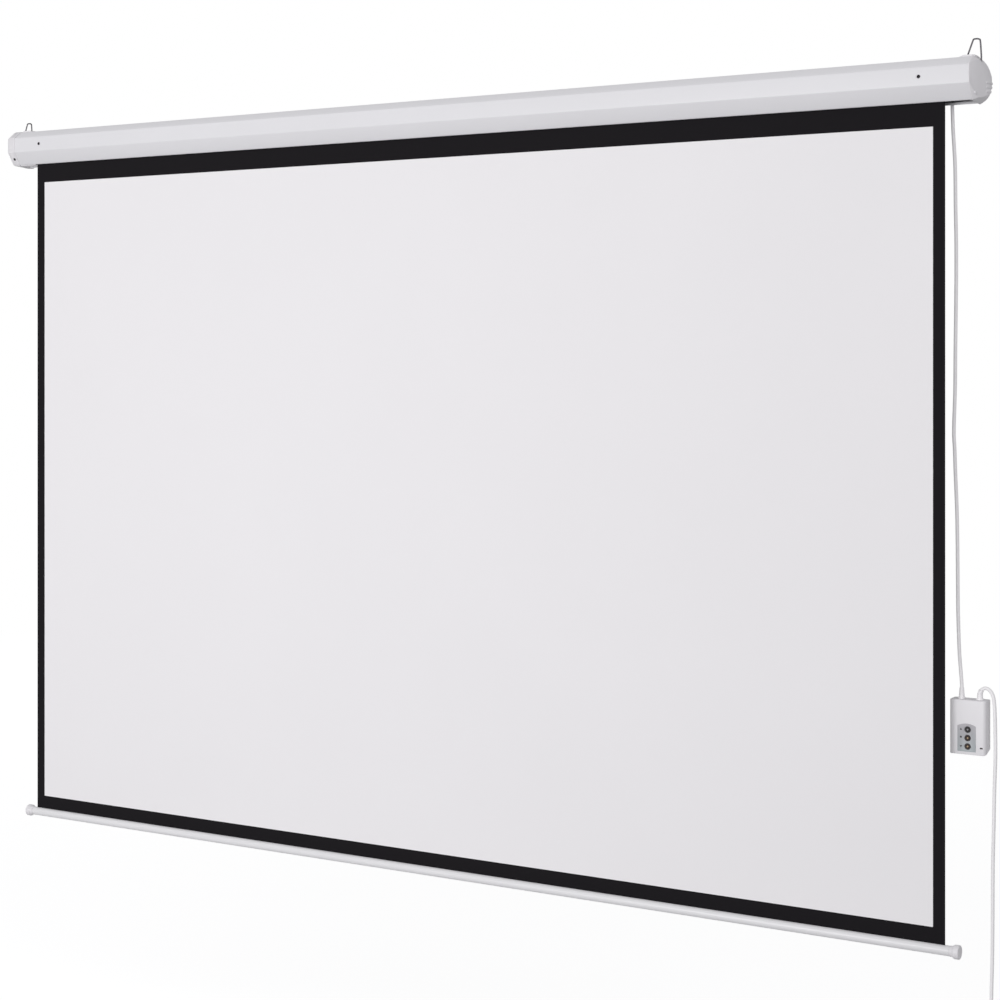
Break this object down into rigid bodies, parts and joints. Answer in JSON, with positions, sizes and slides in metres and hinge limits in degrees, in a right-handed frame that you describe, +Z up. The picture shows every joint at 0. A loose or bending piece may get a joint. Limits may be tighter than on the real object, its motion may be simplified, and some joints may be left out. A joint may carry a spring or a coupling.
{
  "type": "motorized projector screen",
  "caption": "Hanging case with a motor-driven roller, a white projection screen with black borders, a round weight bar and a push-button control box on its cables.",
  "frame": {"origin": "middle of the line where two hooks hold the wire bails, at the inner top of the right bail", "axes": "+Z up, +X to the right for someone who looks at the picture, the picture faces -Y"},
  "size_m": [2.5064, 0.0909, 2.0456],
  "materials": {
    "case_paint": "satin white powder coat",
    "bar_paint": "satin white powder coat",
    "cap_plastic": "fine moulded grain",
    "steel": "bright zinc",
    "motor_casing": "dull zinc",
    "aluminium": "mill finish",
    "black_plastic": "moulded",
    "screen_cloth": "matte white with black borders",
    "box_plastic": "satin moulded",
    "label_grey": "printed film",
    "cord_white": "smooth sheath",
    "plug_white": "moulded",
    "tie_black": "hook and loop strap",
    "button_light": "moulded",
    "board_green": "lacquered board",
    "relay_blue": "moulded",
    "window_red": "clear moulded",
    "brass": "bright"
  },
  "bodies": {
    "case": {"case_shell": "case_paint", "end_cap_left": "cap_plastic", "end_cap_right": "cap_plastic", "end_plate_left": "steel", "end_plate_right": "steel", "case_screw_left": "steel", "case_screw_right": "steel", "cap_screw_left": "steel", "cap_screw_right": "steel", "motor_head": "black_plastic", "motor_body": "motor_casing", "motor_lead": "black_plastic", "idle_pin": "steel", "cable_gland": "black_plastic", "motor_cable": "cord_white", "relief_motor": "cord_white", "box_front": "box_plastic", "box_rear": "box_plastic", "box_screw_left": "steel", "box_screw_right": "steel", "label_plate": "label_grey", "circuit_board": "board_green", "relay_up": "relay_blue", "relay_down": "relay_blue", "terminal_block": "board_green", "capacitor": "black_plastic", "indicator_window": "window_red", "switch_up": "black_plastic", "switch_stop": "black_plastic", "switch_down": "black_plastic", "relief_mains": "cord_white", "mains_cord": "cord_white", "mains_hank": "cord_white", "hank_tie": "tie_black", "plug_body": "plug_white", "plug_blade_left": "brass", "plug_blade_right": "brass", "plug_ground_pin": "brass", "screen_fabric": "screen_cloth"},
    "bail_left": {"bail_left": "steel"},
    "bail_right": {"bail_right": "steel"},
    "roller": {"roller_tube": "aluminium", "fabric_wrap": "screen_cloth", "crown_ring": "black_plastic", "drive_wheel": "black_plastic", "motor_shaft": "steel", "idle_plug": "black_plastic"},
    "bottom_bar": {"bar_tube": "bar_paint", "bar_cap_left": "cap_plastic", "bar_cap_right": "cap_plastic", "hem_rod": "steel"},
    "button_up": {"button_up": "black_plastic", "button_inlay_up": "button_light"},
    "button_stop": {"button_stop": "black_plastic", "button_inlay_stop": "button_light"},
    "button_down": {"button_down": "black_plastic", "button_inlay_down": "button_light"},
    "limit_screw_up": {"limit_screw_up": "brass"},
    "limit_screw_down": {"limit_screw_down": "brass"}
  },
  "joints": [
    {"name": "bar_lift", "type": "slide", "parent": "case", "child": "bottom_bar", "axis": [0, 0, 1], "range_m": [0, 1.5944], "deforming": ["screen_fabric"]},
    {"name": "roller_spin", "type": "hinge", "parent": "case", "child": "roller", "pos_m": [0, 0.00495, -0.075], "axis": [-1, 0, 0], "range_deg": [0, 3540]},
    {"name": "bail_right_lift", "type": "slide", "parent": "case", "child": "bail_right", "axis": [0, 0, 1], "range_m": [-0.0155, 0]},
    {"name": "bail_left_lift", "type": "slide", "parent": "case", "child": "bail_left", "axis": [0, 0, 1], "range_m": [-0.0042, 0.0113]},
    {"name": "button_up_push", "type": "slide", "parent": "case", "child": "button_up", "axis": [0, 1, 0], "range_m": [0, 0.001], "stiffness_N_per_m": 400, "springref_m": -0.001},
    {"name": "button_stop_push", "type": "slide", "parent": "case", "child": "button_stop", "axis": [0, 1, 0], "range_m": [0, 0.001], "stiffness_N_per_m": 400, "springref_m": -0.001},
    {"name": "button_down_push", "type": "slide", "parent": "case", "child": "button_down", "axis": [0, 1, 0], "range_m": [0, 0.001], "stiffness_N_per_m": 400, "springref_m": -0.001},
    {"name": "limit_up_turn", "type": "hinge", "parent": "case", "child": "limit_screw_up", "pos_m": [1.2107, 0.01395, -0.075], "axis": [1, 0, 0], "continuous": true},
    {"name": "limit_down_turn", "type": "hinge", "parent": "case", "child": "limit_screw_down", "pos_m": [1.2107, -0.00405, -0.075], "axis": [1, 0, 0], "continuous": true}
  ],
  "couplings": [
    {"joint": "roller_spin", "follows": "bar_lift", "rad_per_m": 38.7}
  ]
}
